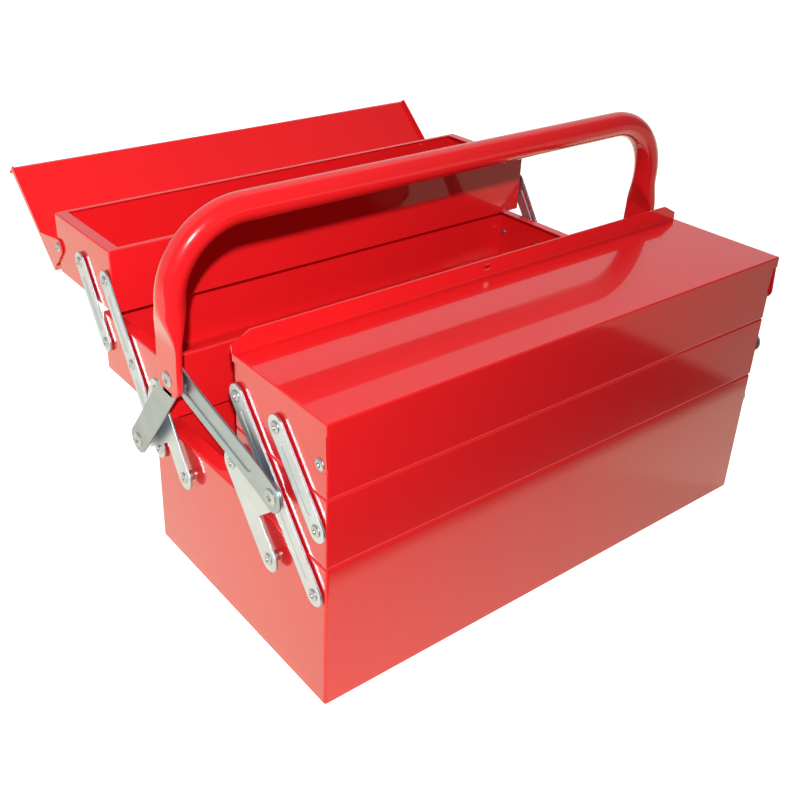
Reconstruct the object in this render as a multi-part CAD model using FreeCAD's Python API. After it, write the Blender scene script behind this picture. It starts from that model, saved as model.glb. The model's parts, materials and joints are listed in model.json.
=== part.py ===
import FreeCAD, Part
import math
import os
from FreeCAD import Vector

# Cantilever tool box in folded sheet steel: one deep base, two middle trays and
# two lidded top trays, which swing out to the front and the rear on riveted
# links, and one carrying handle that is joined to the links by four arms.
# X runs along the box, the front (closed here) faces -Y and the rear (open
# here) faces +Y. The origin is the middle of the underside of the base.
# Lengths are in millimetres and angles in degrees.

# Trays
tray_length = 404.0
base_width = 208.0
base_height = 105.0
mid_height = 47.5
top_height = 49.0
centre_gap = 18.0
stack_gap = 0.3
sheet = 0.9
bend_radius = 1.3
base_bend_radius = 2.0
rim_corner = 1.5
base_end_rim = 12.0
tray_end_rim = 9.0
side_rim = 4.5

# Lids
lid_sheet = 1.2
lid_gap = 0.4
lid_front_flange = 8.0
lid_end_flange = 4.4
lid_tilt = 138.0
lid_pivot_inset = 4.6
lid_pivot_height = 22.3
lid_ear_width = 33.0
lip_height = 12.4
lip_end_height = 5.6
lip_end_slope = 13.0
slot_width = 5.5
slot_height = 4.5
slot_drop = 2.9

# Links: where they pivot, and how they lean when closed and when open
outer_pivot_inset = 9.0
pivot_spacing = 42.5
pivot_drop = 22.3
closed_run = 40.0
open_lean = 33.5
plate = 1.5
link_width = 15.0
link_standoff = 1.2
bead_width = 5.0
bead_depth = 0.6
bead_margin = 11.0

# Cranks: the wide inner links, with a shoulder that carries a handle arm
crank_width = 17.5
shoulder_along = 34.0
shoulder_out = 38.8
shoulder_radius = 8.0
crank_room = 0.65

# Handle arms
arm_length = 104.5
arm_width = 20.0
arm_flat = 14.0
arm_gap = 0.8
handle_gap = 0.3
arm_bead_width = 8.0
arm_bead_depth = 1.0
arm_bead_foot = 21.0
arm_bead_head = 9.0
front_arm_gap = 1.1
rear_bush = 6.7
bush_radius = 5.5

# Handle: a tube with flattened ends
handle_standoff = 18.6
tube_radius = 9.5
tube_wall = 1.4
handle_rise = 103.5
handle_bend = 50.5
handle_tilt = 2.8
flat_width = 27.0
flat_thickness = 4.5
flat_offset = 2.0
flat_below = 11.0
flat_above = 24.0
flat_corner = 9.5
round_from = 52.0

# Rivets
shank_radius = 2.0
pin_radius = 3.0
lid_shank_radius = 2.0
head_radius = 4.0
head_height = 1.2
pin_head_radius = 5.6
collar_radius = 3.4
tail_radius = 3.2
corner_tail_radius = 2.4
tail_height = 1.1
flush_tail = 0.3
play = 0.05

# Worked out from the sizes above
half_length = tray_length / 2
half_width = base_width / 2
tray_inner = centre_gap / 2
mid_floor = base_height + stack_gap
mid_rim = base_height + mid_height
top_floor = mid_rim + stack_gap
top_rim = mid_rim + top_height
lid_under = top_rim + stack_gap
lid_top = lid_under + lid_sheet
lid_reach = half_length + lid_gap + lid_sheet
lid_front = half_width + lid_gap + lid_sheet

link_reach = math.hypot(closed_run, mid_height)
closed_lean = math.degrees(math.atan2(closed_run, mid_height))
fold_angle = closed_lean + open_lean
link_closed = Vector(0, -closed_run, mid_height)
link_open = Vector(0, link_reach * math.sin(math.radians(open_lean)),
                   link_reach * math.cos(math.radians(open_lean)))
open_step = link_open - link_closed

# Pivots of the rear side when it is closed; Y is the way out from the middle
spacing = Vector(0, pivot_spacing, 0)
base_outer = Vector(0, half_width - outer_pivot_inset, base_height - pivot_drop)
base_inner = base_outer - spacing
mid_middle = base_outer + link_closed
mid_outer = mid_middle + spacing
mid_inner = mid_middle - spacing
top_inner = mid_middle + link_closed
top_outer = top_inner + spacing
lid_pivot = Vector(0, half_width - lid_pivot_inset, top_floor + lid_pivot_height)

# Layers outside an end wall, as distances from the wall's outer face
link_out = link_standoff + plate
crank_in = link_out + play + head_height + crank_room
crank_out = crank_in + plate
front_arm_in = crank_out + front_arm_gap
rear_arm_in = crank_out + rear_bush
handle_in = handle_standoff - flat_thickness / 2
handle_out = handle_standoff + flat_thickness / 2
rear_arm_top = handle_in - handle_gap - plate
front_arm_top = rear_arm_top - arm_gap - plate


def turned(point, pivot, degrees):
    """A point swung about a pivot in the plane of the end walls."""
    turn = FreeCAD.Rotation(Vector(1, 0, 0), degrees)
    return pivot + turn.multVec(point - pivot)


def shoulder(degrees):
    """Rivet point on the crank's shoulder, with the crank opened by an angle."""
    along = Vector(link_closed).normalize()
    across = Vector(0, along.z, -along.y)
    closed = base_inner + along * shoulder_along + across * shoulder_out
    return turned(closed, base_inner, -degrees)


def handle_pivot(front, rear):
    """Where two arms of equal length meet above their two shoulder rivets."""
    middle = (front + rear) * 0.5
    half = (rear - front) * 0.5
    rise = math.sqrt(arm_length ** 2 - half.Length ** 2)
    up = Vector(0, -half.z, half.y).normalize()
    return middle + up * rise


closed_shoulder = shoulder(0)
front_shoulder = Vector(0, -closed_shoulder.y, closed_shoulder.z)
rear_shoulder = shoulder(fold_angle)
grip_pivot = handle_pivot(front_shoulder, rear_shoulder)


# Shapes against the left end wall

def at_wall(point, out):
    return Vector(-half_length - out, point.y, point.z)


def disc(point, radius, start, end):
    return Part.makeCylinder(radius, end - start, at_wall(point, start), Vector(-1, 0, 0))


def lathe(point, profile, dome_in=0, dome_out=0):
    """Solid turned about the line through a point along X.

    The profile lists (radius, distance out) from the inner end to the outer
    end, and each end face may be a dome of the given height.
    """
    def corner(radius, out):
        return at_wall(point + Vector(0, radius, 0), out)

    def rise(radius, height):
        ball = (radius ** 2 + height ** 2) / (2 * height)
        half_turn = math.asin(radius / ball) / 2
        return ball * math.sin(half_turn), height - ball * (1 - math.cos(half_turn))

    first = profile[0]
    last = profile[-1]
    bottom = corner(0, first[1] - dome_in)
    top = corner(0, last[1] + dome_out)
    points = [corner(radius, out) for radius, out in profile]
    edges = [Part.LineSegment(a, b).toShape() for a, b in zip(points, points[1:])]
    if dome_in:
        across, up = rise(first[0], dome_in)
        edges.append(Part.Arc(bottom, corner(across, first[1] - up), points[0]).toShape())
    else:
        edges.append(Part.LineSegment(bottom, points[0]).toShape())
    if dome_out:
        across, up = rise(last[0], dome_out)
        edges.append(Part.Arc(points[-1], corner(across, last[1] + up), top).toShape())
    else:
        edges.append(Part.LineSegment(points[-1], top).toShape())
    edges.append(Part.LineSegment(top, bottom).toShape())
    outline = Part.Wire(Part.__sortEdges__(edges))
    return Part.Face(outline).revolve(at_wall(point, 0), Vector(1, 0, 0), 360)


def slot_face(start, end, radius, out):
    """Flat strip with round ends, parallel to the end wall."""
    along = (end - start).normalize()
    across = Vector(0, -along.z, along.y)
    a = at_wall(start, out)
    b = at_wall(end, out)
    edges = [Part.LineSegment(a + across * radius, b + across * radius).toShape(),
             Part.Arc(b + across * radius, b + along * radius, b - across * radius).toShape(),
             Part.LineSegment(b - across * radius, a - across * radius).toShape(),
             Part.Arc(a - across * radius, a - along * radius, a + across * radius).toShape()]
    return Part.Face(Part.Wire(edges))


def slot(start, end, radius, out, thickness):
    return slot_face(start, end, radius, out).extrude(Vector(-thickness, 0, 0))


def bead(plate_shape, start, end, width, face_out):
    """Stamped channel: sunk in the outer face and raised on the inner one."""
    along = (end - start).normalize()
    a = start + along * bead_margin
    b = end - along * bead_margin
    sunk = slot(a, b, width / 2, face_out - bead_depth, bead_depth)
    raised = slot(a, b, width / 2, face_out - plate - bead_depth, bead_depth)
    return plate_shape.cut(sunk).fuse(raised)


# Trays

def tray(inner, outer, floor, rim, end_rim, corner):
    """Open pan of folded sheet with its rim turned in all round."""
    size = Vector(tray_length, outer - inner, rim - floor)
    pan = Part.makeBox(size.x, size.y, size.z, Vector(-half_length, inner, floor))
    pan = pan.makeFillet(corner, pan.Edges)
    hollow = Part.makeBox(size.x - 2 * sheet, size.y - 2 * sheet, size.z - 2 * sheet,
                          Vector(-half_length + sheet, inner + sheet, floor + sheet))
    hollow = hollow.makeFillet(corner - sheet, hollow.Edges)
    mouth = Part.makeBox(size.x - 2 * end_rim, size.y - 2 * side_rim, 2 * sheet,
                         Vector(-half_length + end_rim, inner + side_rim, rim - 2 * sheet))
    upright = [e for e in mouth.Edges if abs(e.Vertexes[0].Z - e.Vertexes[1].Z) > sheet]
    mouth = mouth.makeFillet(rim_corner, upright)
    return pan.cut(hollow).cut(mouth)


def drill(shape, points, radius):
    """Rivet holes through both end walls."""
    for point in points:
        for side in (1, -1):
            place = Vector(-half_length - sheet, side * point.y, point.z)
            shape = shape.cut(Part.makeCylinder(radius, tray_length + 2 * sheet, place,
                                                Vector(1, 0, 0)))
    return shape


def base_tray():
    pan = tray(-half_width, half_width, 0, base_height, base_end_rim, base_bend_radius)
    return drill(pan, [base_outer, base_inner], shank_radius)


def mid_tray():
    pan = tray(tray_inner, half_width, mid_floor, mid_rim, tray_end_rim, bend_radius)
    return drill(pan, [mid_inner, mid_middle, mid_outer], shank_radius)


def top_tray():
    pan = tray(tray_inner, half_width, top_floor, top_rim, tray_end_rim, bend_radius)
    pan = drill(pan, [top_inner, top_outer], shank_radius)
    return drill(pan, [lid_pivot], lid_shank_radius)


# Lids

def lid_ear(reach):
    """Ear at one end of a lid, narrowing down to the hinge rivet."""
    round_end = lid_front - lid_pivot.y
    low = Vector(reach, lid_front, lid_pivot.z)
    tip = Vector(reach, lid_pivot.y, lid_pivot.z - round_end)
    foot = Vector(reach, lid_front - lid_ear_width, lid_top - lid_end_flange)
    lean = (foot - Vector(reach, lid_pivot.y, lid_pivot.z)).normalize()
    side = Vector(0, -lean.z, lean.y) * round_end
    back = Vector(reach, lid_pivot.y, lid_pivot.z) + side
    edges = [Part.LineSegment(Vector(reach, lid_front, lid_top), low).toShape(),
             Part.Arc(low, tip, back).toShape(),
             Part.LineSegment(back, foot).toShape(),
             Part.LineSegment(foot, Vector(reach, foot.y, lid_top)).toShape(),
             Part.LineSegment(Vector(reach, foot.y, lid_top),
                              Vector(reach, lid_front, lid_top)).toShape()]
    ear = Part.Face(Part.Wire(edges)).extrude(Vector(lid_sheet, 0, 0))
    hole = Part.makeCylinder(lid_shank_radius + play, 2 * lid_sheet,
                             Vector(reach - lid_sheet / 2, lid_pivot.y, lid_pivot.z),
                             Vector(1, 0, 0))
    return ear.cut(hole)


def lid_lip():
    """Lip that stands up along the inner edge, with sloped ends and a slot."""
    top = lid_top + lip_height
    shoulder_z = lid_top + lip_end_height
    corners = [Vector(-lid_reach, tray_inner, lid_under),
               Vector(lid_reach, tray_inner, lid_under),
               Vector(lid_reach, tray_inner, shoulder_z),
               Vector(lid_reach - lip_end_slope, tray_inner, top),
               Vector(lip_end_slope - lid_reach, tray_inner, top),
               Vector(-lid_reach, tray_inner, shoulder_z)]
    outline = Part.makePolygon(corners + corners[:1])
    lip = Part.Face(outline).extrude(Vector(0, lid_sheet, 0))
    slot_top = top - slot_drop
    slot_cut = Part.makeBox(slot_width, 2 * lid_sheet, slot_height,
                            Vector(-slot_width / 2, tray_inner - lid_sheet / 2,
                                   slot_top - slot_height))
    return lip.cut(slot_cut)


def lid():
    depth = lid_front - tray_inner
    skin = Part.makeBox(2 * lid_reach, depth, lid_sheet,
                        Vector(-lid_reach, tray_inner, lid_under))
    front = Part.makeBox(2 * lid_reach, lid_sheet, lid_front_flange,
                         Vector(-lid_reach, lid_front - lid_sheet, lid_top - lid_front_flange))
    parts = [front, lid_lip(), lid_ear(-lid_reach), lid_ear(lid_reach - lid_sheet)]
    for x in (-lid_reach, lid_reach - lid_sheet):
        parts.append(Part.makeBox(lid_sheet, depth, lid_end_flange,
                                  Vector(x, tray_inner, lid_top - lid_end_flange)))
    shape = skin.multiFuse(parts).removeSplitter()
    fold = [e for e in shape.Edges
            if e.CenterOfMass.y > lid_front - lid_sheet / 4
            and e.CenterOfMass.z > lid_top - lid_sheet / 4]
    return shape.makeFillet(lid_sheet * 0.9, fold)


# Links

def link(points):
    """Link plate through two or three pivots, with a bead between each pair."""
    shape = slot(points[0], points[-1], link_width / 2, link_standoff, plate)
    for a, b in zip(points, points[1:]):
        shape = bead(shape, a, b, bead_width, link_out)
    for point in points:
        shape = shape.cut(disc(point, shank_radius + play, 0, crank_in))
    return shape


def crank():
    """Wide inner link with its shoulder, drawn in the closed position."""
    along = Vector(link_closed).normalize()
    across = Vector(0, along.z, -along.y)
    foot = at_wall(base_inner, crank_in)
    head = at_wall(mid_inner, crank_in)
    knee = at_wall(closed_shoulder, crank_in)
    half = crank_width / 2
    reach = (knee - head).normalize()
    side = Vector(0, reach.z, -reach.y)
    step = foot + along * (shoulder_along - shoulder_radius)
    edges = [Part.Arc(foot + across * half, foot - along * half, foot - across * half).toShape(),
             Part.LineSegment(foot - across * half, head - across * half).toShape(),
             Part.Arc(head - across * half, head + along * half, head + side * half).toShape(),
             Part.LineSegment(head + side * half, knee + side * shoulder_radius).toShape(),
             Part.Arc(knee + side * shoulder_radius, knee + across * shoulder_radius,
                      knee - along * shoulder_radius).toShape(),
             Part.LineSegment(knee - along * shoulder_radius, step + across * half).toShape(),
             Part.LineSegment(step + across * half, foot + across * half).toShape()]
    shape = Part.Face(Part.Wire(edges)).extrude(Vector(-plate, 0, 0))
    for point in (base_inner, mid_inner):
        shape = shape.cut(disc(point, shank_radius + play, 0, handle_in))
    return shape.cut(disc(closed_shoulder, pin_radius + play, 0, handle_in))


def arm_strip(low, high, low_in, high_in, thickness):
    """Strip along an arm, flat at both ends and slanting outwards between."""
    along = (high - low).normalize()
    across = Vector(0, -along.z, along.y) * arm_width
    stations = [(low - along * arm_width, low_in), (low + along * arm_flat, low_in),
                (high - along * arm_flat, high_in), (high + along * arm_width, high_in)]
    inside = [at_wall(point, out) for point, out in stations]
    outside = [at_wall(point, out + thickness) for point, out in stations]
    corners = [corner - across for corner in inside + outside[::-1]]
    return Part.Face(Part.makePolygon(corners + corners[:1])).extrude(across * 2)


def plain_arm(low, high, low_in, high_in, high_hole):
    """Handle arm from its shoulder rivet, low, to the handle pivot, high."""
    outline = slot(low, high, arm_width / 2, 0, handle_in)
    shape = arm_strip(low, high, low_in, high_in, plate).common(outline)
    shape = shape.cut(disc(low, pin_radius + play, 0, handle_in))
    return shape.cut(disc(high, high_hole, 0, handle_in))


def channelled_arm(low, high, low_in, high_in, high_hole):
    """Handle arm with a channel stamped along its outer face."""
    shape = plain_arm(low, high, low_in, high_in, high_hole)
    along = (high - low).normalize()
    half = arm_bead_width / 2
    channel = slot(low + along * (arm_bead_foot + half), high - along * (arm_bead_head + half),
                   half, 0, handle_in)
    sunk = arm_strip(low, high, low_in + plate - arm_bead_depth,
                     high_in + plate - arm_bead_depth, arm_bead_depth)
    raised = arm_strip(low, high, low_in - arm_bead_depth, high_in - arm_bead_depth,
                       arm_bead_depth)
    return shape.cut(sunk.common(channel)).fuse(raised.common(channel)).removeSplitter()


# Rivets

def tray_rivet(point, plate_in, tail=tail_radius):
    """Rivet fixed in an end wall: tail inside, collar, shank and rounded head."""
    head_in = plate_in + plate + play
    return lathe(point, [(tail, -sheet), (shank_radius, -sheet), (shank_radius, 0),
                         (collar_radius, 0), (collar_radius, plate_in - play),
                         (shank_radius, plate_in - play), (shank_radius, head_in),
                         (head_radius, head_in)], tail_height, head_height)


def lid_rivet():
    head_in = lid_gap + lid_sheet + play
    return lathe(lid_pivot, [(tail_radius, -sheet), (lid_shank_radius, -sheet),
                             (lid_shank_radius, head_in), (head_radius, head_in)],
                 tail_height, head_height)


def arm_rivet(point, arm_in):
    """Rivet through a crank's shoulder and an arm, with a bush between them."""
    tail_out = crank_in - play
    head_in = arm_in + plate + play
    return lathe(point, [(tail_radius, tail_out - flush_tail), (tail_radius, tail_out),
                         (pin_radius, tail_out), (pin_radius, crank_out + play),
                         (bush_radius, crank_out + play), (bush_radius, arm_in - play),
                         (pin_radius, arm_in - play), (pin_radius, head_in),
                         (pin_head_radius, head_in)], 0, head_height)


def handle_rivet():
    head_in = handle_out + play
    return lathe(grip_pivot, [(pin_radius, rear_arm_top), (pin_radius, head_in),
                              (pin_head_radius, head_in)], 0, head_height)


def handle_rivet_tail():
    """Formed end of the handle rivet, seen on the inside of the front arm."""
    return lathe(grip_pivot, [(pin_head_radius, front_arm_top), (pin_radius, front_arm_top),
                              (pin_radius, front_arm_top + plate)], head_height, 0)


# Handle

def flat_wire(width, thickness, height):
    """Section of the flattened tube at one height, outside the round tube's axis."""
    half = width / 2 - thickness / 2
    middle = -flat_offset
    inner = middle + thickness / 2
    outer = middle - thickness / 2
    arc = [Vector(outer, half, height), Vector(middle, width / 2, height),
           Vector(inner, half, height)]
    low = [Vector(inner, -half, height), Vector(middle, -width / 2, height),
           Vector(outer, -half, height)]
    return Part.Wire([Part.Arc(*arc).toShape(), Part.LineSegment(arc[2], low[0]).toShape(),
                      Part.Arc(*low).toShape(), Part.LineSegment(low[2], arc[0]).toShape()])


def round_wire(radius, height):
    """Circle in four arcs that answer the four edges of the flattened section."""
    spread = math.radians(35)
    marks = [math.pi / 2 + spread, math.pi / 2 - spread, spread - math.pi / 2, -spread - math.pi / 2]
    points = [Vector(radius * math.cos(a), radius * math.sin(a), height) for a in marks]
    tips = [Vector(0, radius, height), Vector(radius, 0, height),
            Vector(0, -radius, height), Vector(-radius, 0, height)]
    ends = points[1:] + points[:1]
    return Part.Wire([Part.Arc(a, b, c).toShape() for a, b, c in zip(points, tips, ends)])


def bail(radius, width, thickness, lowest):
    """Solid of the whole bail about its pivot line, at one tube radius."""
    reach = half_length + handle_standoff - flat_offset
    bend_z = handle_rise - handle_bend
    bar = Part.makeCylinder(radius, 2 * (reach - handle_bend),
                            Vector(handle_bend - reach, 0, handle_rise), Vector(1, 0, 0))
    section = Part.Face(flat_wire(width, thickness, lowest))
    leg = section.extrude(Vector(0, 0, flat_above - lowest))
    neck = Part.makeLoft([flat_wire(width, thickness, flat_above),
                          round_wire(radius, round_from)], True, True)
    stem = Part.makeCylinder(radius, bend_z - round_from, Vector(0, 0, round_from))
    circle = Part.Face(Part.Wire(Part.makeCircle(radius, Vector(0, 0, bend_z))))
    bend = circle.revolve(Vector(handle_bend, 0, bend_z), Vector(0, 1, 0), 90)
    side = leg.multiFuse([neck, stem, bend])
    side.translate(Vector(-reach, 0, 0))
    other = side.mirror(Vector(0, 0, 0), Vector(1, 0, 0))
    return bar.multiFuse([side, other])


def handle():
    shape = bail(tube_radius, flat_width, flat_thickness, -flat_below)
    bore = bail(tube_radius - tube_wall, flat_width - 2 * tube_wall,
                flat_thickness - 2 * tube_wall, -flat_below - tube_wall)
    shape = shape.cut(bore)
    reach = half_length + handle_standoff
    for x in (-reach, reach):
        for way in (1, -1):
            corner = Part.makeBox(flat_thickness, flat_corner, flat_corner,
                                  Vector(x - flat_thickness / 2, flat_width / 2 - flat_corner,
                                         -flat_below))
            keep = Part.makeCylinder(flat_corner, flat_thickness,
                                     Vector(x - flat_thickness / 2, flat_width / 2 - flat_corner,
                                            flat_corner - flat_below), Vector(1, 0, 0))
            waste = corner.cut(keep)
            if way < 0:
                waste = waste.mirror(Vector(0, 0, 0), Vector(0, 1, 0))
            shape = shape.cut(waste)
        shape = shape.cut(Part.makeCylinder(pin_radius + play, flat_thickness,
                                            Vector(x - flat_thickness / 2, 0, 0),
                                            Vector(1, 0, 0)))
    shape.rotate(Vector(0, 0, 0), Vector(1, 0, 0), handle_tilt)
    shape.translate(grip_pivot)
    return shape


# Assembly: the left end and the rear side are drawn, the rest is mirrored

def swung(shape, pivot, degrees):
    copy = shape.copy()
    copy.rotate(pivot, Vector(1, 0, 0), degrees)
    return copy


def moved(shape, steps):
    copy = shape.copy()
    copy.translate(open_step * steps)
    return copy


def to_front(shape):
    return shape.mirror(Vector(0, 0, 0), Vector(0, 1, 0))


def to_right(shape):
    return shape.mirror(Vector(0, 0, 0), Vector(1, 0, 0))


pieces = {"base_tray": base_tray(), "handle": handle()}


def add_ends(name, left):
    pieces[name + "_left"] = left
    pieces[name + "_right"] = to_right(left)


def add_sides(name, closed, opened):
    pieces[name + "_front"] = to_front(closed)
    pieces[name + "_rear"] = opened


def add_all(name, closed, opened):
    add_ends(name + "_front", to_front(closed))
    add_ends(name + "_rear", opened)


mid_shape = mid_tray()
add_sides("mid_tray", mid_shape, moved(mid_shape, 1))
top_shape = top_tray()
add_sides("top_tray", top_shape, moved(top_shape, 2))
lid_shape = lid()
add_sides("lid", lid_shape, moved(swung(lid_shape, lid_pivot, -lid_tilt), 2))

long_link = link([base_outer, mid_middle, top_inner])
add_all("long_link", long_link, swung(long_link, base_outer, -fold_angle))
short_link = link([mid_outer, top_outer])
add_all("short_link", short_link, moved(swung(short_link, mid_outer, -fold_angle), 1))
crank_shape = crank()
add_all("crank", crank_shape, swung(crank_shape, base_inner, -fold_angle))

add_ends("handle_arm_front", channelled_arm(front_shoulder, grip_pivot, front_arm_in,
                                            front_arm_top, pin_radius))
add_ends("handle_arm_rear", plain_arm(rear_shoulder, grip_pivot, rear_arm_in, rear_arm_top,
                                      pin_radius + play))
add_ends("arm_rivet_front", arm_rivet(front_shoulder, front_arm_in))
add_ends("arm_rivet_rear", arm_rivet(rear_shoulder, rear_arm_in))
add_ends("handle_rivet", handle_rivet())
add_ends("handle_rivet_tail", handle_rivet_tail())

base_set = [tray_rivet(base_outer, link_standoff), tray_rivet(base_inner, crank_in)]
base_set += [to_front(rivet) for rivet in base_set]
add_ends("base_rivets", Part.makeCompound(base_set))
mid_set = Part.makeCompound([tray_rivet(mid_middle, link_standoff),
                             tray_rivet(mid_outer, link_standoff),
                             tray_rivet(mid_inner, crank_in, corner_tail_radius)])
add_all("mid_rivets", mid_set, moved(mid_set, 1))
top_set = Part.makeCompound([tray_rivet(top_inner, link_standoff),
                             tray_rivet(top_outer, link_standoff)])
add_all("top_rivets", top_set, moved(top_set, 2))
hinge = lid_rivet()
hinge_pair = Part.makeCompound([hinge, to_right(hinge)])
add_sides("lid_rivets", hinge_pair, moved(hinge_pair, 2))

os.makedirs("parts", exist_ok=True)
for name, shape in pieces.items():
    shape.exportStep(os.path.join("parts", name + ".step"))
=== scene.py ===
import json
import math
import bmesh
import bpy
from mathutils import Matrix, Vector


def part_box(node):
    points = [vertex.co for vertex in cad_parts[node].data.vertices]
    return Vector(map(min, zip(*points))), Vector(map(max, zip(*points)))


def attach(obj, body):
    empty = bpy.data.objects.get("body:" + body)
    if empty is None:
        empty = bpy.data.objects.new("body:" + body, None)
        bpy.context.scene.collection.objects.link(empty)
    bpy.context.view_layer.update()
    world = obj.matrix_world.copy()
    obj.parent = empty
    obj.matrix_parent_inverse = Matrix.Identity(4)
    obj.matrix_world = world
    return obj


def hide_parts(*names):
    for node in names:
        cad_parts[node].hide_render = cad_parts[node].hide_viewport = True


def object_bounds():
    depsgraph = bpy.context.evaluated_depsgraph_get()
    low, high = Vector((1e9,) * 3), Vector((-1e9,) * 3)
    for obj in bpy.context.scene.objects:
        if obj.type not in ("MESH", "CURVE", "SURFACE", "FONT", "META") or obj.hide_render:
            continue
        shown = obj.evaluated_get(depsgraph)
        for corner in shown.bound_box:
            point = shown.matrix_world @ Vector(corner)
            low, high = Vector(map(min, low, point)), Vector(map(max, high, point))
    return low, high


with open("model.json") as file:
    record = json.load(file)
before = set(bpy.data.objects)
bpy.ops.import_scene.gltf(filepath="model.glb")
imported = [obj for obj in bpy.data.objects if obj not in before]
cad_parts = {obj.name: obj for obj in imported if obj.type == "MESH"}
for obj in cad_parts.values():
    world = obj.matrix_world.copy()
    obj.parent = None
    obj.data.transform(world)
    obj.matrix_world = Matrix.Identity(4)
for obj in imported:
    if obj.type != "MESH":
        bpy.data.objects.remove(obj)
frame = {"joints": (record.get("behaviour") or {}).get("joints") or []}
cad_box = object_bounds()
pivot = {joint["name"]: Vector(joint["pos_m"]) for joint in frame["joints"]}
scene = bpy.context.scene

# The view: the box is seen from the front and the left, a little from above, with the
# camera turned and lifted by these angles and rolled slightly.
view_turn, view_drop, view_roll = math.radians(37.76), math.radians(27.72), math.radians(1.46)
ahead = Vector((math.sin(view_turn) * math.cos(view_drop),
                math.cos(view_turn) * math.cos(view_drop), -math.sin(view_drop)))
level = ahead.cross(Vector((0, 0, 1))).normalized()
upright = level.cross(ahead)
right = level * math.cos(view_roll) + upright * math.sin(view_roll)
top = upright * math.cos(view_roll) - level * math.sin(view_roll)
view_place = Vector((-0.46984, -0.47428, 0.48417))
camera = bpy.data.objects.new("camera", bpy.data.cameras.new("camera"))
camera.matrix_world = (Matrix.Translation(view_place)
                       @ Matrix((right, top, -ahead)).transposed().to_4x4())
camera.data.sensor_width = 36
camera.data.lens = 46.386
camera.data.shift_x = 0.052
camera.data.shift_y = -0.0583
scene.collection.objects.link(camera)
scene.camera = camera


# The base: a deep pan folded from one steel sheet, its rim turned in all round and its
# folds pressed round, sprayed with glossy red enamel. The other parts hang on its ends.

class Signal:
    """An output of a shader node, which sums and products carry on through Math nodes."""

    def __init__(self, finish, socket):
        self.finish = finish
        self.socket = socket

    def step(self, operation, *terms):
        return self.finish.node("ShaderNodeMath", {"operation": operation},
                                dict(enumerate(terms)))

    def __add__(self, other):
        return self.step("ADD", self, other)

    def __sub__(self, other):
        return self.step("SUBTRACT", self, other)

    def __rsub__(self, other):
        return self.step("SUBTRACT", other, self)

    def __mul__(self, other):
        return self.step("MULTIPLY", self, other)

    __radd__ = __add__
    __rmul__ = __mul__


class Finish:
    """The nodes of one finish, made by type, settings and socket values or links."""

    def __init__(self, tree):
        self.tree = tree
        self.tree.nodes.clear()

    def node(self, kind, settings=None, sockets=None, output=0):
        made = self.tree.nodes.new(kind)
        for name, value in (settings or {}).items():
            setattr(made, name, value)
        for name, value in (sockets or {}).items():
            if isinstance(value, Signal):
                self.tree.links.new(value.socket, made.inputs[name])
            else:
                made.inputs[name].default_value = value
        return Signal(self, made.outputs[output]) if len(made.outputs) else None

    def place(self, stretch=(1, 1, 1)):
        spot = self.node("ShaderNodeTexCoord", output=3)
        return self.node("ShaderNodeMapping", None, {"Vector": spot, "Scale": stretch})

    def noise(self, vector, scale, detail=2.0, roughness=0.5):
        return self.node("ShaderNodeTexNoise", None,
                         {"Vector": vector, "Scale": scale, "Detail": detail,
                          "Roughness": roughness})

    def blend(self, share, first, second):
        return self.node("ShaderNodeMix", {"data_type": "RGBA"},
                         {0: share, 6: first, 7: second}, output=2)

    def relief(self, height, depth, below=None):
        sockets = {"Height": height, "Distance": depth, "Strength": 1.0}
        if below:
            sockets["Normal"] = below
        return self.node("ShaderNodeBump", None, sockets)


def new_finish(name):
    material = bpy.data.materials.new(name)
    material.use_nodes = True
    return material, Finish(material.node_tree)


def enamel(name, colour, deeper, wave_depth):
    """Glossy sprayed enamel: faint colour drift, orange peel and sheet that isn't quite flat."""
    material, finish = new_finish(name)
    spot = finish.place()
    drift = finish.noise(spot, 9.0, 3.0)
    speck = finish.noise(spot, 260.0, 2.0)
    peel = finish.noise(spot, 520.0, 1.0, 0.4)
    wave = finish.noise(spot, 11.0, 1.0, 0.3)
    red = finish.blend(drift, colour + (1,), deeper + (1,))
    bent = finish.relief(wave, wave_depth)
    pebbled = finish.relief(peel, 0.000012, bent)
    surface = finish.node("ShaderNodeBsdfPrincipled", None,
                          {"Base Color": red, "Roughness": 0.2 + 0.08 * speck,
                           "Specular IOR Level": 0.2, "Coat Weight": 0.92 + 0.08 * drift,
                           "Coat Roughness": 0.02, "Coat IOR": 1.5, "Normal": pebbled})
    finish.node("ShaderNodeOutputMaterial", None, {"Surface": surface})
    return material


tray_enamel = enamel("tray_enamel", (0.68, 0.010, 0.013), (0.63, 0.009, 0.012), 0.0009)


def fit(name, mesh, material, body, nodes, modifiers):
    """A finished piece: it takes its finish, moves with its body and stands for its nodes."""
    data = bpy.data.meshes.new(name)
    for face in mesh.faces:
        face.smooth = True
    mesh.to_mesh(data)
    mesh.free()
    piece = bpy.data.objects.new(name, data)
    scene.collection.objects.link(piece)
    piece.data.materials.append(material)
    for kind, settings in modifiers:
        added = piece.modifiers.new(kind.lower(), kind)
        for key, value in settings.items():
            setattr(added, key, value)
    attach(piece, body)
    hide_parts(*nodes)


def wall(thickness):
    return ("SOLIDIFY", {"thickness": thickness, "offset": -1.0, "use_even_offset": True})


def edge_round(width, angle=40):
    return ("BEVEL", {"width": width, "segments": 2, "limit_method": "ANGLE",
                      "angle_limit": math.radians(angle)})


even_shade = ("WEIGHTED_NORMAL", {"keep_sharp": True})
tray_sheet, side_rim = 0.0009, 0.0045
base_end_rim, base_fold = 0.012, 0.002
pan_edges = [wall(tray_sheet), edge_round(0.0002), even_shade]


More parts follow.
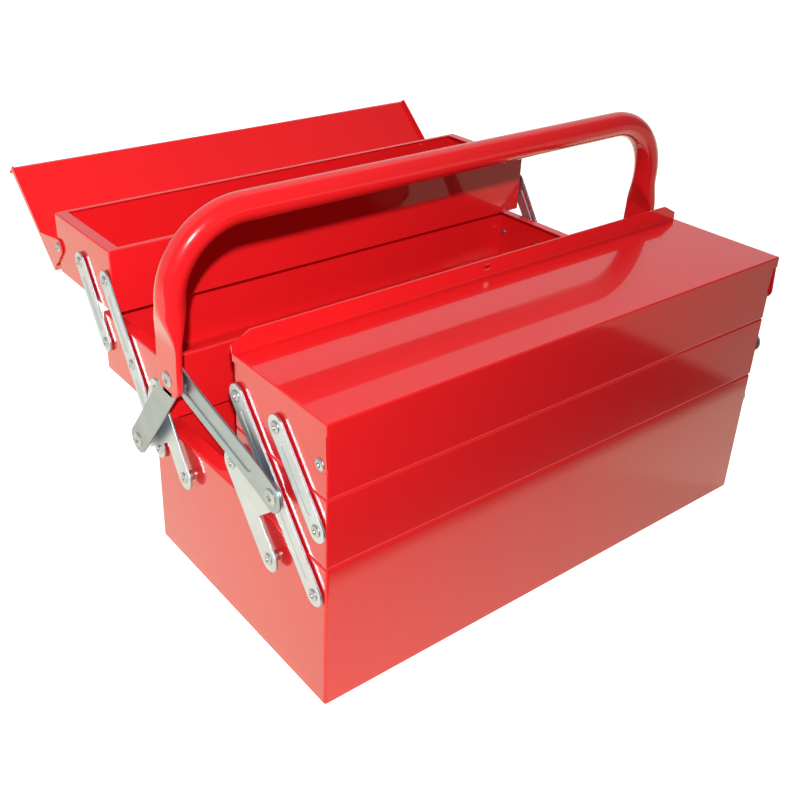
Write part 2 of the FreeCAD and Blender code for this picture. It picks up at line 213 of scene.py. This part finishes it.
def pan(node, end_rim, fold):
    """A box of sheet with an inset mouth, its outer folds rounded."""
    low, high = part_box(node)
    mesh = bmesh.new()
    bmesh.ops.create_cube(mesh, size=1, matrix=Matrix.Translation((low + high) / 2)
                          @ Matrix.Diagonal((*(high - low), 1)))
    mouth = max(mesh.faces, key=lambda face: face.calc_center_median().z)
    bmesh.ops.inset_region(mesh, faces=[mouth], thickness=side_rim, use_even_offset=True)
    for corner in mouth.verts:
        corner.co.x -= math.copysign(end_rim - side_rim, corner.co.x)
    inside = set(mouth.verts)
    folds = [edge for edge in mesh.edges if not inside & set(edge.verts)]
    bmesh.ops.delete(mesh, geom=[mouth], context="FACES_ONLY")
    bmesh.ops.bevel(mesh, geom=folds, offset=fold, offset_type="OFFSET", segments=4,
                    profile=0.5, affect="EDGES", material=-1)
    return mesh


fit("base_pan", pan("base_tray", base_end_rim, base_fold), tray_enamel, "base",
    ["base_tray"], pan_edges)


# The four swing-out trays: shallower pans of the same sheet and enamel, two on each side,
# with a tighter fold and a narrower rim at the ends.
tray_end_rim, tray_fold = 0.009, 0.0013
for side in ("front", "rear"):
    for storey in ("mid", "top"):
        node = f"{storey}_tray_{side}"
        fit(f"{side}_{storey}_pan", pan(node, tray_end_rim, tray_fold), tray_enamel,
            f"{side}_{storey}_tray", [node], pan_edges)


# The two lids: a flat skin with its front and ends folded down, an ear at each front corner
# that narrows to the hinge rivet, and a lip with a small slot along the inner edge. The
# sheet is a little thicker and has the same enamel. Sizes count from the hinge's line.
lid_sheet = 0.0012
lid_reach, lid_front, lid_inner, lid_top = 0.2036, 0.0062, -0.0892, 0.0279
lid_flange, lid_end_flange, lid_fold = 0.008, 0.0044, 0.0011
ear_foot, ear_toe, ear_heel = -0.0268, (0.0062, -0.0044), (-0.0021, -0.0073)
lip_shoulder, lip_height, lip_slope = 0.0056, 0.0124, 0.013
slot_half, slot_low, slot_high = 0.00275, 0.0050, 0.0095
ear_rounding, lip_foot = 0.0044, 0.001
lid_tilt, fold_limit = math.radians(138), math.radians(60)
lid_enamel = enamel("lid_enamel", (0.69, 0.010, 0.013), (0.64, 0.009, 0.012), 0.0006)


def lid_skin():
    """The closed lid about its hinge line, with Y pointing out over the hinge."""
    mesh = bmesh.new()
    corners = [mesh.verts.new(place) for place in (
        (-lid_reach, lid_inner, lid_top), (lid_reach, lid_inner, lid_top),
        (lid_reach, lid_front, lid_top), (-lid_reach, lid_front, lid_top))]
    mesh.faces.new(corners)

    def fold_out(first, second, step):
        edge = mesh.edges.get((first, second))
        made = bmesh.ops.extrude_edge_only(mesh, edges=[edge])["geom"]
        fresh = [part for part in made if isinstance(part, bmesh.types.BMVert)]
        bmesh.ops.translate(mesh, verts=fresh, vec=step)
        return sorted(fresh, key=lambda vert: vert.co.x)

    hem = fold_out(corners[3], corners[2], (0, 0, -lid_flange))
    lower = fold_out(corners[0], corners[1], (0, 0, lip_shoulder))
    upper = fold_out(lower[0], lower[1], (0, 0, lip_height - lip_shoulder))
    upper[0].co.x += lip_slope
    upper[1].co.x -= lip_slope
    rounded = []
    for side, inner, outer, low in ((-1, corners[0], corners[3], hem[0]),
                                    (1, corners[1], corners[2], hem[1])):
        x = side * lid_reach
        under = mesh.verts.new((x, lid_inner, lid_top - lid_end_flange))
        foot = mesh.verts.new((x, ear_foot, lid_top - lid_end_flange))
        heel = mesh.verts.new((x, *ear_heel))
        toe = mesh.verts.new((x, *ear_toe))
        rounded += [heel, toe]
        ring = [inner, under, foot, heel, toe, low, outer]
        mesh.faces.new(ring if side < 0 else ring[::-1])
    bmesh.ops.recalc_face_normals(mesh, faces=mesh.faces)
    if max(mesh.faces, key=lambda face: face.calc_area()).normal.z < 0:
        bmesh.ops.reverse_faces(mesh, faces=mesh.faces)
    bmesh.ops.bevel(mesh, geom=rounded, offset=ear_rounding, offset_type="OFFSET", segments=6,
                    profile=0.5, affect="VERTICES", material=-1)
    for spot, way in (((slot_half, 0, 0), (1, 0, 0)), ((-slot_half, 0, 0), (1, 0, 0)),
                      ((0, 0, lid_top + slot_low), (0, 0, 1)),
                      ((0, 0, lid_top + slot_high), (0, 0, 1))):
        lip = [face for face in mesh.faces
               if face.calc_center_median().z > lid_top + lip_foot]
        parts = {part for face in lip for part in (face, *face.edges, *face.verts)}
        bmesh.ops.bisect_plane(mesh, geom=list(parts), plane_co=spot, plane_no=way)
    window = [face for face in mesh.faces
              if abs(face.calc_center_median().x) < slot_half / 2
              and slot_low < face.calc_center_median().z - lid_top < slot_high]
    bmesh.ops.delete(mesh, geom=window, context="FACES_ONLY")
    folds = [edge for edge in mesh.edges if edge.is_manifold
             and edge.calc_face_angle(0) > fold_limit]
    bmesh.ops.bevel(mesh, geom=folds, offset=lid_fold, offset_type="OFFSET", segments=3,
                    profile=0.5, affect="EDGES", material=-1)
    return mesh


for side, turn in (("front", Matrix.Scale(-1, 4, (0, 1, 0))),
                   ("rear", Matrix.Rotation(-lid_tilt, 4, "X"))):
    mesh = lid_skin()
    bmesh.ops.transform(mesh, matrix=Matrix.Translation(pivot[f"{side}_lid_hinge"]) @ turn,
                        verts=mesh.verts)
    if side == "front":
        bmesh.ops.reverse_faces(mesh, faces=mesh.faces)
    fit(f"{side}_lid_skin", mesh, lid_enamel, f"{side}_lid", [f"lid_{side}"],
        [wall(lid_sheet), edge_round(0.0004), even_shade])


# The long and short links: bright zinc-plated strips with round ends, stamped with a long
# groove between each two rivets. The long ones carry both trays of a side.
pale_zinc = (0.68, 0.79, 0.86, 1), (0.42, 0.51, 0.57, 1)
# Painted shade: the second pair is a darker copy of the same zinc, which the handle arms take so
# that they come out darker than the links.
shaded_zinc = (0.45, 0.55, 0.60, 1), (0.25, 0.33, 0.37, 1)


def zinc(name, along, shades):
    """Zinc plate over rolled steel: soft cloudy shades with faint streaks along the strip."""
    material, finish = new_finish(name)
    spot = finish.place()
    streak = finish.noise(finish.place(along), 60.0, 3.0, 0.6)
    cloud = finish.noise(spot, 38.0, 3.0)
    grain = finish.noise(spot, 900.0, 2.0)
    shade = cloud * 0.6 + streak * 0.5
    surface = finish.node("ShaderNodeBsdfPrincipled", None,
                          {"Base Color": finish.blend(shade, *shades),
                           "Metallic": 1.0, "Roughness": 0.34 + 0.18 * shade,
                           "Normal": finish.relief(grain + streak, 0.00001)})
    finish.node("ShaderNodeOutputMaterial", None, {"Surface": surface})
    return material


link_zinc = zinc("link_zinc", (1.0, 1.0, 0.25), pale_zinc)
end_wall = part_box("base_tray")[0].x
plate = 0.0015
plate_edges = [wall(plate), edge_round(0.00025), even_shade]
link_radius, link_face = 0.0075, 0.0027
groove_radius, groove_margin = 0.0027, 0.0115
groove_steps = ((0.0, 0.0), (0.0003, 0.00008), (0.0009, 0.00052), (0.0012, 0.0006))


def outline(mesh, start, end, radius, out, depth=0.0):
    """A loop like a racetrack at the left end: half of a circle is drawn out to the end."""
    along = (end - start).normalized()
    out_way = Vector((-1, 0, 0))
    turn = Matrix((along, out_way.cross(along), out_way)).transposed().to_4x4()
    middle = Vector((end_wall - out + depth, start.y, start.z))
    loop = bmesh.ops.create_circle(
        mesh, segments=32, radius=radius,
        matrix=Matrix.Translation(middle) @ turn @ Matrix.Rotation(math.pi / 32, 4, "Z"))["verts"]
    drawn = [vert for vert in loop if (vert.co - middle).dot(along) > 0]
    bmesh.ops.translate(mesh, verts=drawn, vec=(0, end.y - start.y, end.z - start.z))
    return loop, list({edge for vert in loop for edge in vert.link_edges})


def stamped(points, radius, out, groove, foot, head, steps):
    """A strip with a sunk groove between each pair of points."""
    mesh = bmesh.new()
    rims = outline(mesh, points[0], points[-1], radius, out)[1]
    for start, end in zip(points, points[1:]):
        along = (end - start).normalized()
        loops = [outline(mesh, start + along * foot, end - along * head, groove - shift, out,
                         depth) for shift, depth in steps]
        rims += loops[0][1]
        for first, second in zip(loops, loops[1:]):
            bmesh.ops.bridge_loops(mesh, edges=first[1] + second[1])
        mesh.faces.new(loops[-1][0])
    bmesh.ops.triangle_fill(mesh, use_beauty=True, use_dissolve=False, edges=rims,
                            normal=(-1, 0, 0))
    bmesh.ops.recalc_face_normals(mesh, faces=mesh.faces)
    if max(mesh.faces, key=lambda face: face.calc_area()).normal.x > 0:
        bmesh.ops.reverse_faces(mesh, faces=mesh.faces)
    return mesh


def both_ends(name, node, body, draw, material, modifiers):
    """The same piece at the left end and, mirrored, at the right end."""
    for end in ("left", "right"):
        mesh = draw()
        if end == "right":
            bmesh.ops.scale(mesh, vec=(-1, 1, 1), verts=mesh.verts)
            bmesh.ops.reverse_faces(mesh, faces=mesh.faces)
        fit(f"{name}_{end}", mesh, material, body, [f"{node}_{end}"], modifiers)


for side in ("front", "rear"):
    low, middle, high = (pivot[f"{side}_{name}"] for name in ("fold", "mid_level", "top_level"))
    outer = pivot[f"{side}_short_link_turn"]
    both_ends(f"{side}_long_strip", f"long_link_{side}", f"{side}_long_links",
              lambda: stamped([low, middle, high], link_radius, link_face, groove_radius,
                              groove_margin, groove_margin, groove_steps),
              link_zinc, plate_edges)
    both_ends(f"{side}_short_strip", f"short_link_{side}", f"{side}_short_links",
              lambda: stamped([outer, outer + high - middle], link_radius, link_face,
                              groove_radius, groove_margin, groove_margin, groove_steps),
              link_zinc, plate_edges)


# The cranks: the wide inner links, blanked from the same plate with a square notch and a
# rounded shoulder that carries a handle arm.
# Each corner is a run along the crank, a rise across it and the rounding of the corner.
crank_half, crank_face = 0.00875, 0.0061
crank_end, shoulder_rise, notch_run = 0.07085, 0.0468, 0.0260
crank_corners = ((-crank_half, -crank_half, crank_half), (crank_end, -crank_half, crank_half),
                 (crank_end, 0.00291, 0.00291), (0.0380, shoulder_rise, 0.0040),
                 (notch_run, shoulder_rise, 0.0080), (notch_run, crank_half, 0.0009),
                 (-crank_half, crank_half, crank_half))
crank_zinc = zinc("crank_zinc", (1.0, 0.4, 1.0), pale_zinc)


def blanked(foot, head, knee):
    """The crank's outline from its corners, each rounded by its own amount."""
    mesh = bmesh.new()
    along = (head - foot).normalized()
    across = Vector((0, along.z, -along.y))
    if across.dot(knee - foot) < 0:
        across.negate()
    origin = Vector((end_wall - crank_face, foot.y, foot.z))
    corners = [mesh.verts.new(origin + along * run + across * rise)
               for run, rise, _ in crank_corners]
    mesh.faces.new(corners)
    for corner, (_, _, rounding) in zip(corners, crank_corners):
        bmesh.ops.bevel(mesh, geom=[corner], offset=rounding, offset_type="OFFSET",
                        segments=8, profile=0.5, affect="VERTICES", material=-1)
    bmesh.ops.remove_doubles(mesh, verts=mesh.verts, dist=0.00002)
    mesh.normal_update()
    if mesh.faces[:][0].normal.x > 0:
        bmesh.ops.reverse_faces(mesh, faces=mesh.faces)
    return mesh


for side in ("front", "rear"):
    foot = pivot[f"{side}_crank_turn"]
    head = foot + pivot[f"{side}_mid_level"] - pivot[f"{side}_fold"]
    both_ends(f"{side}_crank_plate", f"crank_{side}", f"{side}_cranks",
              lambda: blanked(foot, head, pivot[f"{side}_arm_turn"]),
              crank_zinc, plate_edges)


# The handle arms: two at each end. The front one has a deep channel, the rear one is plain,
# and both lean out from the crank's shoulder to the handle with a flat at either end.
arm_radius, arm_flat = 0.010, 0.014
arm_layers = {"front": (0.0087, 0.01375), "rear": (0.0143, 0.01605)}
channel_radius, channel_foot, channel_head = 0.0042, 0.0252, 0.0132
channel_steps = ((0.0, 0.0), (0.0003, 0.0001), (0.0011, 0.0009), (0.0015, 0.0010))
# The arms' zinc is the darker copy of the link zinc: painted shade, not a different plating.
arm_shaded_zinc = zinc("arm_shaded_zinc", (1.0, 0.35, 0.8), shaded_zinc)


def arm(low, high, foot_face, head_face, channelled):
    if channelled:
        mesh = stamped([low, high], arm_radius, foot_face, channel_radius, channel_foot,
                       channel_head, channel_steps)
    else:
        mesh = bmesh.new()
        loop = outline(mesh, low, high, arm_radius, foot_face)[0]
        mesh.faces.new(loop)
        mesh.normal_update()
        if mesh.faces[:][0].normal.x > 0:
            bmesh.ops.reverse_faces(mesh, faces=mesh.faces)
    along = (high - low).normalized()
    run = (high - low).length - 2 * arm_flat
    for station in (low + along * arm_flat, high - along * arm_flat):
        bmesh.ops.bisect_plane(mesh, geom=mesh.verts[:] + mesh.edges[:] + mesh.faces[:],
                               plane_co=station, plane_no=along)
    for vert in mesh.verts:
        share = min(max(((vert.co - low).dot(along) - arm_flat) / run, 0), 1)
        vert.co.x -= share * (head_face - foot_face)
    return mesh


for side, channelled in (("front", True), ("rear", False)):
    both_ends(f"{side}_arm_plate", f"handle_arm_{side}", f"{side}_arms",
              lambda: arm(pivot[f"{side}_arm_turn"], pivot["handle_swing"], *arm_layers[side],
                          channelled),
              arm_shaded_zinc, plate_edges)


# The rivets: turned and headed steel, zinc plated and a little duller than the links. A
# domed head with a small dimple outside, a collar under the plate and a formed tail inside.
def rivet_plate(name):
    material, finish = new_finish(name)
    spot = finish.place()
    cloud = finish.noise(spot, 240.0, 3.0)
    ring = finish.noise(spot, 1500.0, 2.0)
    surface = finish.node("ShaderNodeBsdfPrincipled", None,
                          {"Base Color": finish.blend(cloud, (0.58, 0.63, 0.65, 1),
                                                      (0.34, 0.38, 0.40, 1)),
                           "Metallic": 1.0, "Roughness": 0.3 + 0.2 * cloud,
                           "Normal": finish.relief(ring, 0.00001)})
    finish.node("ShaderNodeOutputMaterial", None, {"Surface": surface})
    return material


rivet_zinc = rivet_plate("rivet_zinc")
head_radius, head_height = 0.0040, 0.0012
pin_radius, pin_head, shank = 0.0030, 0.0056, 0.0020
collar, bush, tail_radius, play, weld = 0.0034, 0.0055, 0.0032, 0.00005, 0.000005
tail_height, small_tail = 0.00035, 0.0024
crank_inner = crank_face - plate


def head_profile(radius, height, base):
    """From the rim of a head over its dome and down into its dimple: radius and height."""
    return [(radius, base), (radius, base + 0.12 * height),
            (0.93 * radius, base + 0.45 * height), (0.78 * radius, base + 0.74 * height),
            (0.58 * radius, base + 0.96 * height), (0.48 * radius, base + height),
            (0.42 * radius, base + 0.9 * height), (0.33 * radius, base + 0.2 * height),
            (0.18 * radius, base - 0.4 * height), (0, base - 0.6 * height)]


def lathe(mesh, place, profile):
    """Turns a profile of (radius, distance out) round the line through a place along X."""
    centre = Vector((end_wall, place.y, place.z))
    verts = [mesh.verts.new(centre + Vector((-out, 0, radius))) for radius, out in profile]
    edges = [mesh.edges.new(pair) for pair in zip(verts, verts[1:])]
    bmesh.ops.spin(mesh, geom=verts + edges, cent=centre, axis=(1, 0, 0),
                   angle=2 * math.pi, steps=28, use_merge=True)


def rivets(profiles):
    mesh = bmesh.new()
    for place, profile in profiles:
        lathe(mesh, place, profile)
    bmesh.ops.remove_doubles(mesh, verts=mesh.verts, dist=weld)
    bmesh.ops.recalc_face_normals(mesh, faces=mesh.faces)
    return mesh


def tray_rivet(plate_in, tail=tail_radius):
    base = plate_in + plate + play
    return ([(0, -0.0020), (0.5 * tail, -0.0019), (0.85 * tail, -0.0015), (tail, -0.0009),
             (shank, -0.0009), (shank, 0), (collar, 0), (collar, plate_in - play),
             (shank, plate_in - play), (shank, base)]
            + head_profile(head_radius, head_height, base))


link_inner = link_face - plate
rivet_finish = [even_shade]
both_ends("base_rivet_heads", "base_rivets", "base",
          lambda: rivets([(pivot[f"{side}_{name}"], tray_rivet(inner))
                          for side in ("front", "rear")
                          for name, inner in (("fold", link_inner),
                                              ("crank_turn", crank_inner))]),
          rivet_zinc, rivet_finish)
for side in ("front", "rear"):
    low, middle, high = (pivot[f"{side}_{name}"] for name in ("fold", "mid_level", "top_level"))
    outer = pivot[f"{side}_short_link_turn"]
    inner = pivot[f"{side}_crank_turn"] + middle - low
    both_ends(f"{side}_mid_rivet_heads", f"mid_rivets_{side}", f"{side}_mid_tray",
              lambda: rivets([(middle, tray_rivet(link_inner)), (outer, tray_rivet(link_inner)),
                              (inner, tray_rivet(crank_inner, small_tail))]),
              rivet_zinc, rivet_finish)
    both_ends(f"{side}_top_rivet_heads", f"top_rivets_{side}", f"{side}_top_tray",
              lambda: rivets([(high, tray_rivet(link_inner)),
                              (outer + high - middle, tray_rivet(link_inner))]),
              rivet_zinc, rivet_finish)

# The lid rivets: one through each ear, with a flat formed tail in the tray.
ear_out = 0.00165
for side in ("front", "rear"):
    mesh = rivets([(pivot[f"{side}_lid_hinge"],
                    [(0, -0.0020), (0.0016, -0.0019), (0.0027, -0.0015),
                     (tail_radius, -0.0009), (shank, -0.0009), (shank, ear_out)]
                    + head_profile(head_radius, head_height, ear_out))])
    other = mesh.copy()
    bmesh.ops.scale(other, vec=(-1, 1, 1), verts=other.verts)
    bmesh.ops.reverse_faces(other, faces=other.faces)
    both = bpy.data.meshes.new("hinge_pair")
    other.to_mesh(both)
    mesh.from_mesh(both)
    fit(f"{side}_hinge_rivets", mesh, rivet_zinc, f"{side}_top_tray",
        [f"lid_rivets_{side}"], rivet_finish)


# The shoulder rivets: thick pins through crank and arm, with a bush that holds the rear arm
# out, and the two handle rivets with their tails inside the front arms.
def shoulder_pin(face):
    """A tail inside the crank, the pin, a bush between crank and arm, and the head."""
    return ([(0, crank_inner - tail_height), (tail_radius, crank_inner - tail_height),
             (tail_radius, crank_inner - play), (pin_radius, crank_inner - play),
             (pin_radius, crank_face + play), (bush, crank_face + play),
             (bush, face - plate - play), (pin_radius, face - plate - play),
             (pin_radius, face + play)]
            + head_profile(pin_head, head_height, face + play))


for side in ("front", "rear"):
    face = arm_layers[side][0]
    both_ends(f"{side}_shoulder_rivet", f"arm_rivet_{side}", f"{side}_arm_rivets",
              lambda: rivets([(pivot[f"{side}_arm_turn"], shoulder_pin(face))]),
              rivet_zinc, rivet_finish)
handle_place = pivot["handle_swing"]
handle_layer, flat_thickness = 0.0186, 0.0045
handle_face = handle_layer + flat_thickness / 2
rear_arm_in, front_arm_out = arm_layers["rear"][1] - plate, arm_layers["front"][1]
tail_top = front_arm_out - plate
handle_pin = ([(0, rear_arm_in), (pin_radius, rear_arm_in), (pin_radius, handle_face + play)]
              + head_profile(pin_head, head_height, handle_face + play))
handle_tail = [(0, front_arm_out), (pin_radius, front_arm_out), (pin_radius, tail_top),
               (pin_head, tail_top), (0.8 * pin_head, tail_top - 0.0008),
               (0.4 * pin_head, tail_top - 0.0012), (0, tail_top - 0.0012)]
both_ends("handle_rivet_head", "handle_rivet", "handle_rivets",
          lambda: rivets([(handle_place, handle_pin)]), rivet_zinc, rivet_finish)
both_ends("handle_rivet_end", "handle_rivet_tail", "front_arms",
          lambda: rivets([(handle_place, handle_tail)]), rivet_zinc, rivet_finish)


# The handle: one steel tube bent to a bail, its ends pressed flat over the arms and cut
# round, with the same red enamel. It leans a little towards the front.
tube_radius, handle_rise, handle_bend = 0.0095, 0.1035, 0.0505
flat_width, flat_corner, flat_offset = 0.027, 0.0095, 0.002
flat_below, flat_middle, flat_above, round_from = 0.011, 0.006, 0.024, 0.052
foot_wall, foot_depth, handle_lean = 0.0013, 0.003, math.radians(2.8)
handle_enamel = enamel("handle_enamel", (0.67, 0.011, 0.014), (0.62, 0.010, 0.013), 0.0004)
handle_reach = -end_wall + handle_layer - flat_offset


def bail():
    """Half of the handle about its pivot line: rows up one leg, a bend and half the bar."""
    mesh = bmesh.new()
    loop = bmesh.ops.create_circle(mesh, segments=40, radius=tube_radius)["verts"]
    round_places = {vert: vert.co.copy() for vert in loop}
    order = list(loop)
    edges = list({edge for vert in loop for edge in vert.link_edges})
    heights = ([flat_corner * (1 - math.cos(math.radians(step))) - flat_below
                for step in (12, 24, 36, 48, 60, 75, 90)]
               + [flat_middle, flat_above]
               + [flat_above + (round_from - flat_above) * step / 8 for step in range(1, 9)])

    def press(verts, height):
        drop = max(0.0, flat_corner - flat_below - height)
        corner = flat_corner - math.sqrt(max(0.0, flat_corner ** 2 - drop ** 2))
        share = min(max((round_from - height) / (round_from - flat_above), 0), 1)
        share = share * share * (3 - 2 * share)
        half = tube_radius + (flat_thickness / 2 - tube_radius) * share
        wide = (tube_radius + (flat_width / 2 - tube_radius) * share - corner) / tube_radius
        for vert, spot in zip(verts, (round_places[first] for first in order)):
            vert.co = (min(max(spot.x, -half), half) - flat_offset * share, spot.y * wide,
                       height)

    rows = [loop]
    press(loop, heights[0])
    for height in heights[1:]:
        made = bmesh.ops.extrude_edge_only(mesh, edges=edges)["geom"]
        edges = [part for part in made if isinstance(part, bmesh.types.BMEdge)]
        fresh = [part for part in made if isinstance(part, bmesh.types.BMVert)]
        ordered = []
        for vert in rows[-1]:
            ordered += [edge.other_vert(vert) for edge in vert.link_edges
                        if edge.other_vert(vert) in fresh]
        press(ordered, height)
        rows.append(ordered)
    foot = mesh.faces.new(rows[0])
    bmesh.ops.inset_region(mesh, faces=[foot], thickness=foot_wall, use_even_offset=True)
    bmesh.ops.translate(mesh, verts=foot.verts, vec=(0, 0, foot_depth))
    made = bmesh.ops.extrude_edge_only(mesh, edges=edges)["geom"]
    edges = [part for part in made if isinstance(part, bmesh.types.BMEdge)]
    fresh = [part for part in made if isinstance(part, bmesh.types.BMVert)]
    bmesh.ops.translate(mesh, verts=fresh, vec=(0, 0, handle_rise - handle_bend - round_from))
    made = bmesh.ops.spin(mesh, geom=edges, cent=(handle_bend, 0, handle_rise - handle_bend),
                          axis=(0, 1, 0), angle=math.pi / 2, steps=18)["geom_last"]
    edges = [part for part in made if isinstance(part, bmesh.types.BMEdge)]
    made = bmesh.ops.extrude_edge_only(mesh, edges=edges)["geom"]
    fresh = [part for part in made if isinstance(part, bmesh.types.BMVert)]
    for vert in fresh:
        vert.co.x = handle_reach
    bmesh.ops.translate(mesh, verts=mesh.verts, vec=(-handle_reach, 0, 0))
    bmesh.ops.mirror(mesh, geom=mesh.verts[:] + mesh.edges[:] + mesh.faces[:], axis="X",
                     merge_dist=0.00001)
    bmesh.ops.remove_doubles(mesh, verts=mesh.verts, dist=weld)
    bmesh.ops.recalc_face_normals(mesh, faces=mesh.faces)
    bmesh.ops.transform(mesh, matrix=Matrix.Translation(handle_place)
                        @ Matrix.Rotation(handle_lean, 4, "X"), verts=mesh.verts)
    return mesh


fit("handle_bail", bail(), handle_enamel, "handle", ["handle"],
    [edge_round(0.0004, 50), even_shade])


# The light: a small hard lamp at the front left, which throws the handle's shadow on the
# rear tray and is turned away, so that it fades to the right, and a weak soft one at the
# right and rear, which is left out of reflections.
def lamp(name, place, aim, size, power):
    data = bpy.data.lights.new(name, "AREA")
    data.shape = "SQUARE"
    data.size = size
    data.energy = power
    made = bpy.data.objects.new(name, data)
    made.location = place
    made.rotation_mode = "QUATERNION"
    made.rotation_quaternion = (Vector(aim) - Vector(place)).to_track_quat("-Z", "Y")
    scene.collection.objects.link(made)
    return made


key_place = Vector((-0.74, -0.964, 0.851))
key_way = Vector((-0.5, 0.866, 0))
lamp("key_lamp", key_place, key_place + key_way, 0.04, 62)
lamp("right_softbox", (0.8, 0.5, 1.3), (0.05, 0, 0.15), 0.3, 8).visible_glossy = False

# The floor: a white sheet that shows pure white around a faint shadow. In reflections and as
# light it ends some nine centimetres in front of the box, but for a fainter card on the right,
# and reflections see it a little warm.
table_material, finish = new_finish("white_table")
ray = finish.node("ShaderNodeLightPath", output=0)
gloss = finish.node("ShaderNodeLightPath", output=3)
spot = finish.node("ShaderNodeTexCoord", output=3)


def ramp(value, start, end):
    """Zero before the start, one after the end and a soft step between."""
    return finish.node("ShaderNodeMapRange", {"interpolation_type": "SMOOTHSTEP"},
                       {"Value": value, "From Min": start, "From Max": end})


def part(vector, axis):
    return finish.node("ShaderNodeSeparateXYZ", None, {"Vector": vector}, output=axis)


sheet = ramp(part(spot, 1), -0.207, -0.187)
card = ramp(part(spot, 0), 0.345, 0.375)
seen = sheet.step("MAXIMUM", sheet, 0.5 * card)
white, warm, dark = (0.6, 0.6, 0.6, 1), (0.6, 0.53, 0.42, 1), (0.03, 0.03, 0.03, 1)
lit = finish.blend((1 - ray) * (1 - seen), finish.blend(gloss, white, warm), dark)
chalk = finish.node("ShaderNodeBsdfDiffuse", None, {"Color": lit})
glow = finish.node("ShaderNodeEmission", None,
                   {"Color": finish.blend(gloss, (1, 1, 1, 1), (1, 0.87, 0.7, 1)),
                    "Strength": 0.88 * ray + 0.65 * (gloss * seen)})
both = finish.node("ShaderNodeAddShader", None, {0: chalk, 1: glow})
finish.node("ShaderNodeOutputMaterial", None, {"Surface": both})
mesh = bmesh.new()
bmesh.ops.create_grid(mesh, x_segments=1, y_segments=1, size=6)
table = bpy.data.objects.new("white_table", bpy.data.meshes.new("white_table"))
mesh.to_mesh(table.data)
mesh.free()
table.location.z = cad_box[0].z
table.data.materials.append(table_material)
scene.collection.objects.link(table)

# The surround: pure white to the camera, but as light and in reflections pale towards the
# rear and dim towards the front.
world = bpy.data.worlds.new("white_surround")
scene.world = world
world.use_nodes = True
finish = Finish(world.node_tree)
ray = finish.node("ShaderNodeLightPath", output=0)
way = finish.node("ShaderNodeTexCoord", output=0)
pale = (1 - ray) * ramp(part(way, 1), -0.1, 0.2)
finish.node("ShaderNodeOutputWorld", None, {"Surface": finish.node(
    "ShaderNodeBackground", None, {"Color": (1, 1, 1, 1), "Strength": 0.12 + 0.88 * ray
                                   + 0.45 * pale})})
scene.view_settings.view_transform = "Standard"
